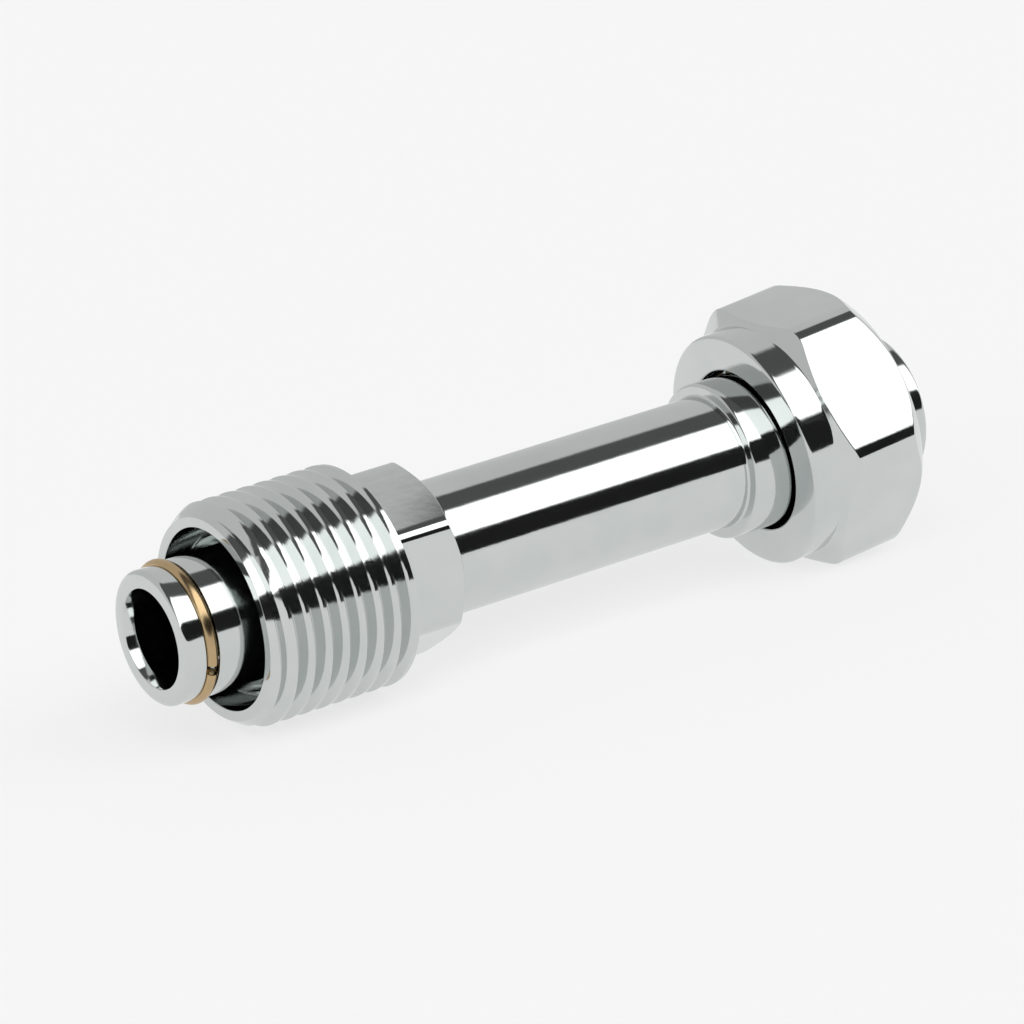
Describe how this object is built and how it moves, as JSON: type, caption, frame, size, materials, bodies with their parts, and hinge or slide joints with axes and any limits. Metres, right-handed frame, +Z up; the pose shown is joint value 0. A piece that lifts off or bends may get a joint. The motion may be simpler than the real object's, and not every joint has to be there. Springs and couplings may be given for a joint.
{
  "type": "telescopic pipe extension",
  "caption": "Sliding tube in a short male-threaded body with a spanner hexagon, held by a split wire ring, with a pipe stub that carries a loose compression nut.",
  "frame": {"origin": "centre of the pipe stub's shoulder, on the waterway's axis", "axes": "+X along the waterway towards the stub's open end, +Z up as the fitting lies on a table"},
  "size_m": [0.082, 0.0269, 0.0248],
  "materials": {
    "tube_plating": "polished",
    "body_plating": "polished",
    "nut_plating": "polished",
    "bronze_wire": "polished",
    "bare_brass": "satin",
    "seal_rubber": "matte"
  },
  "bodies": {
    "tube": {"sliding_tube": "tube_plating", "retaining_ring": "bronze_wire"},
    "seals": {"front_seal": "seal_rubber", "rear_seal": "seal_rubber"},
    "body": {"threaded_body": "body_plating"},
    "compression_ring": {"olive": "bare_brass"},
    "nut": {"union_nut": "nut_plating"}
  },
  "joints": [
    {"name": "telescope_slide", "type": "slide", "parent": "tube", "child": "seals", "axis": [1, 0, 0], "range_m": [-0.0108, 0.0331]},
    {"name": "body_turn", "type": "hinge", "parent": "seals", "child": "body", "pos_m": [-0.0466, 0, 0], "axis": [1, 0, 0], "continuous": true},
    {"name": "nut_slide", "type": "slide", "parent": "tube", "child": "compression_ring", "axis": [1, 0, 0], "range_m": [-0.0028, 0.006]},
    {"name": "nut_turn", "type": "hinge", "parent": "compression_ring", "child": "nut", "pos_m": [0.00415, 0, 0], "axis": [0.9938, -0.033, 0.1063], "continuous": true}
  ]
}
